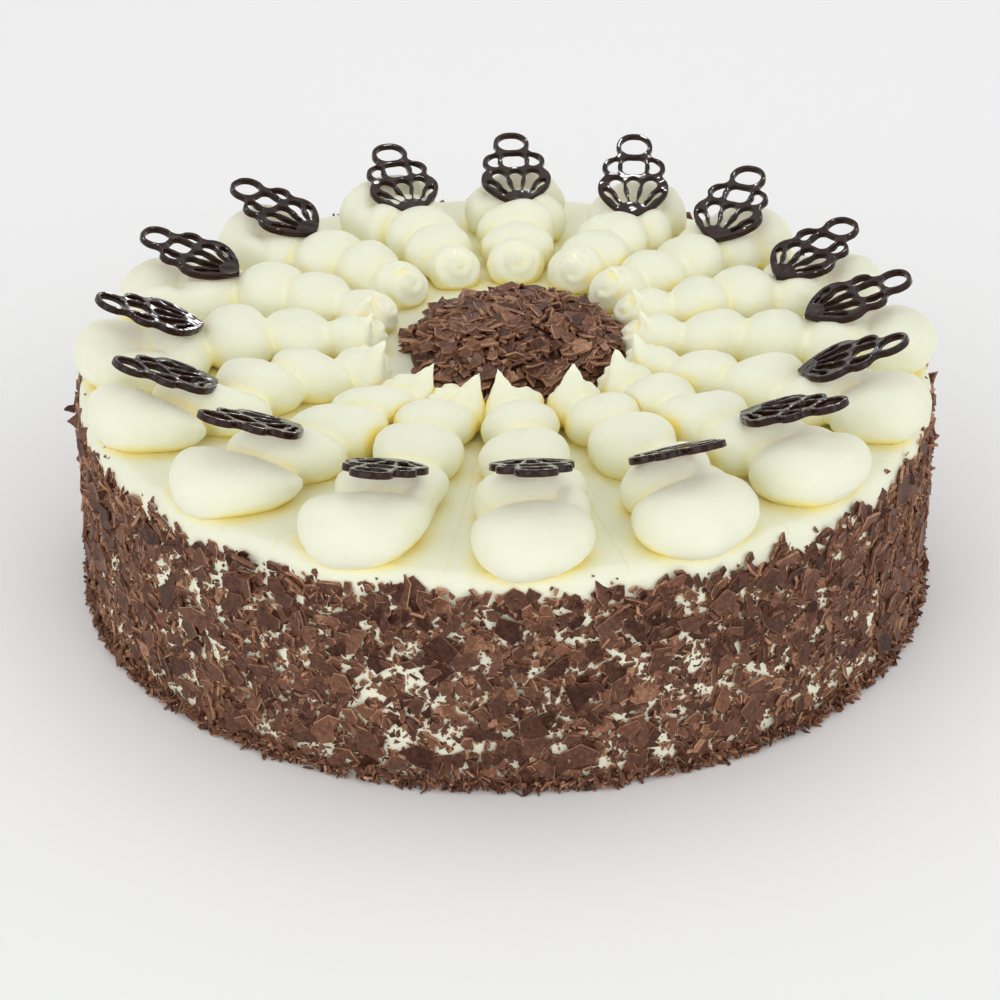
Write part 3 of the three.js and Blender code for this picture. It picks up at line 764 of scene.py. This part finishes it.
def heapMesh(kind, seed):
    draw = np.random.default_rng(seed)
    count = kind["count"]
    turn = draw.uniform(0, 2 * np.pi, count)
    wave = 1 + heap["wideWave"] * np.sin(3 * turn + 1) + heap["fineWave"] * np.sin(7 * turn)  # an uneven edge
    share = np.sqrt(draw.random(count)) * wave
    reach = heap["reach"] * share
    dome = np.sqrt(np.maximum(0.0, 1 - (reach / heap["radius"]) ** 2))
    out = np.stack([np.cos(turn), np.sin(turn), np.zeros(count)], axis=1)
    spots = out * reach[:, None]
    spots[:, 0] += heap["x"]
    spots[:, 1] += heap["y"]
    spots[:, 2] = cake["height"] + heap["height"] * dome + between(draw, kind["lift"], count)
    upward = out * share[:, None] * heap["slope"] + np.array([0, 0, 1.0])
    return flakeMesh(kind, draw, spots, leaning(draw, upward, kind), cake["height"] + heap["floor"])


newPiece("heap_core", heapCoreMesh(), flakeChocolate, "flake_chocolate", "flake_heap")
for order, kind in enumerate(heapFlakes):
    mesh = heapMesh(kind, heap["seed"] + order)
    newPiece(kind["name"], mesh, flakeChocolate, "flake_chocolate", "flake_heap")
print("heap made")


# floor and lights in metres, camera in millimetres

floorLook = {"radius": 4, "steps": 64, "colour": "#ffffff", "roughness": 0.9}
studio = {"aim": (0, 0, 0.05), "horizon": 1.0, "zenith": 0.5}
# name, place, width, watts
softLights = [("left", (-1.2, -1.5, 1.0), 1.5, 6.2), ("right", (1.2, -1.4, 1.0), 1.5, 5.7),
              ("top", (0.0, 0.5, 1.7), 1.5, 4.0)]
glints = [("glintTop", (0.1, 0.45, 1.3), 0.18, 4.0), ("glintLeft", (-0.8, 0.4, 1.1), 0.18, 4.0),
          ("glintRight", (0.9, 0.3, 1.1), 0.18, 4.0), ("glintBack", (0.2, 1.6, 0.4), 0.2, 1.2)]
view = {"back": 847.9, "up": 495.6, "down": 30.31, "lens": 104.64, "sensor": 36,
        "shiftX": -0.0054, "shiftY": 0.056}


def stageFloor():
    bm = bmesh.new()
    bmesh.ops.create_circle(bm, cap_ends=True, radius=floorLook["radius"], segments=floorLook["steps"])
    floor = bpy.data.objects.new("floor", meshOf(bm, "floor"))
    scene.collection.objects.link(floor)
    made, tree, shader = newMaterial("paleFloor")
    shader.inputs["Base Color"].default_value = linear(floorLook["colour"])
    shader.inputs["Roughness"].default_value = floorLook["roughness"]
    floor.data.materials.append(made)


def softLight(name, spot, size, power):
    data = bpy.data.lights.new(name, "AREA")
    data.shape = "DISK"
    data.size = size
    data.energy = power
    light = bpy.data.objects.new(name, data)
    light.location = spot
    light.rotation_euler = (Vector(studio["aim"]) - Vector(spot)).to_track_quat("-Z", "Y").to_euler()
    scene.collection.objects.link(light)
    return light


stageFloor()
for light in softLights:
    softLight(*light)
for light in glints:
    softLight(*light).visible_diffuse = False  # seen only as a reflection in what is glossy

world = bpy.data.worlds.new("studio")
world.use_nodes = True
sky = addNode(world.node_tree, "ShaderNodeTexCoord").outputs["Generated"]
skyParts = addNode(world.node_tree, "ShaderNodeSeparateXYZ", {"Vector": sky}).outputs
skyLight = addNode(world.node_tree, "ShaderNodeMapRange",
                   {"Value": skyParts["Z"], "From Min": 0.0, "From Max": 1.0,
                    "To Min": studio["horizon"], "To Max": studio["zenith"]}).outputs["Result"]
world.node_tree.nodes["Background"].inputs["Color"].default_value = (1, 1, 1, 1)
world.node_tree.links.new(skyLight, world.node_tree.nodes["Background"].inputs["Strength"])
scene.world = world
scene.view_settings.view_transform = "Standard"

camera = bpy.data.objects.new("camera", bpy.data.cameras.new("camera"))
camera.location = (0, -view["back"] * mm, view["up"] * mm)
camera.rotation_euler = (math.radians(90 - view["down"]), 0, 0)
camera.data.lens = view["lens"]
camera.data.sensor_width = view["sensor"]
camera.data.shift_x = view["shiftX"]
camera.data.shift_y = view["shiftY"]
scene.collection.objects.link(camera)
scene.camera = camera
print("stage made")
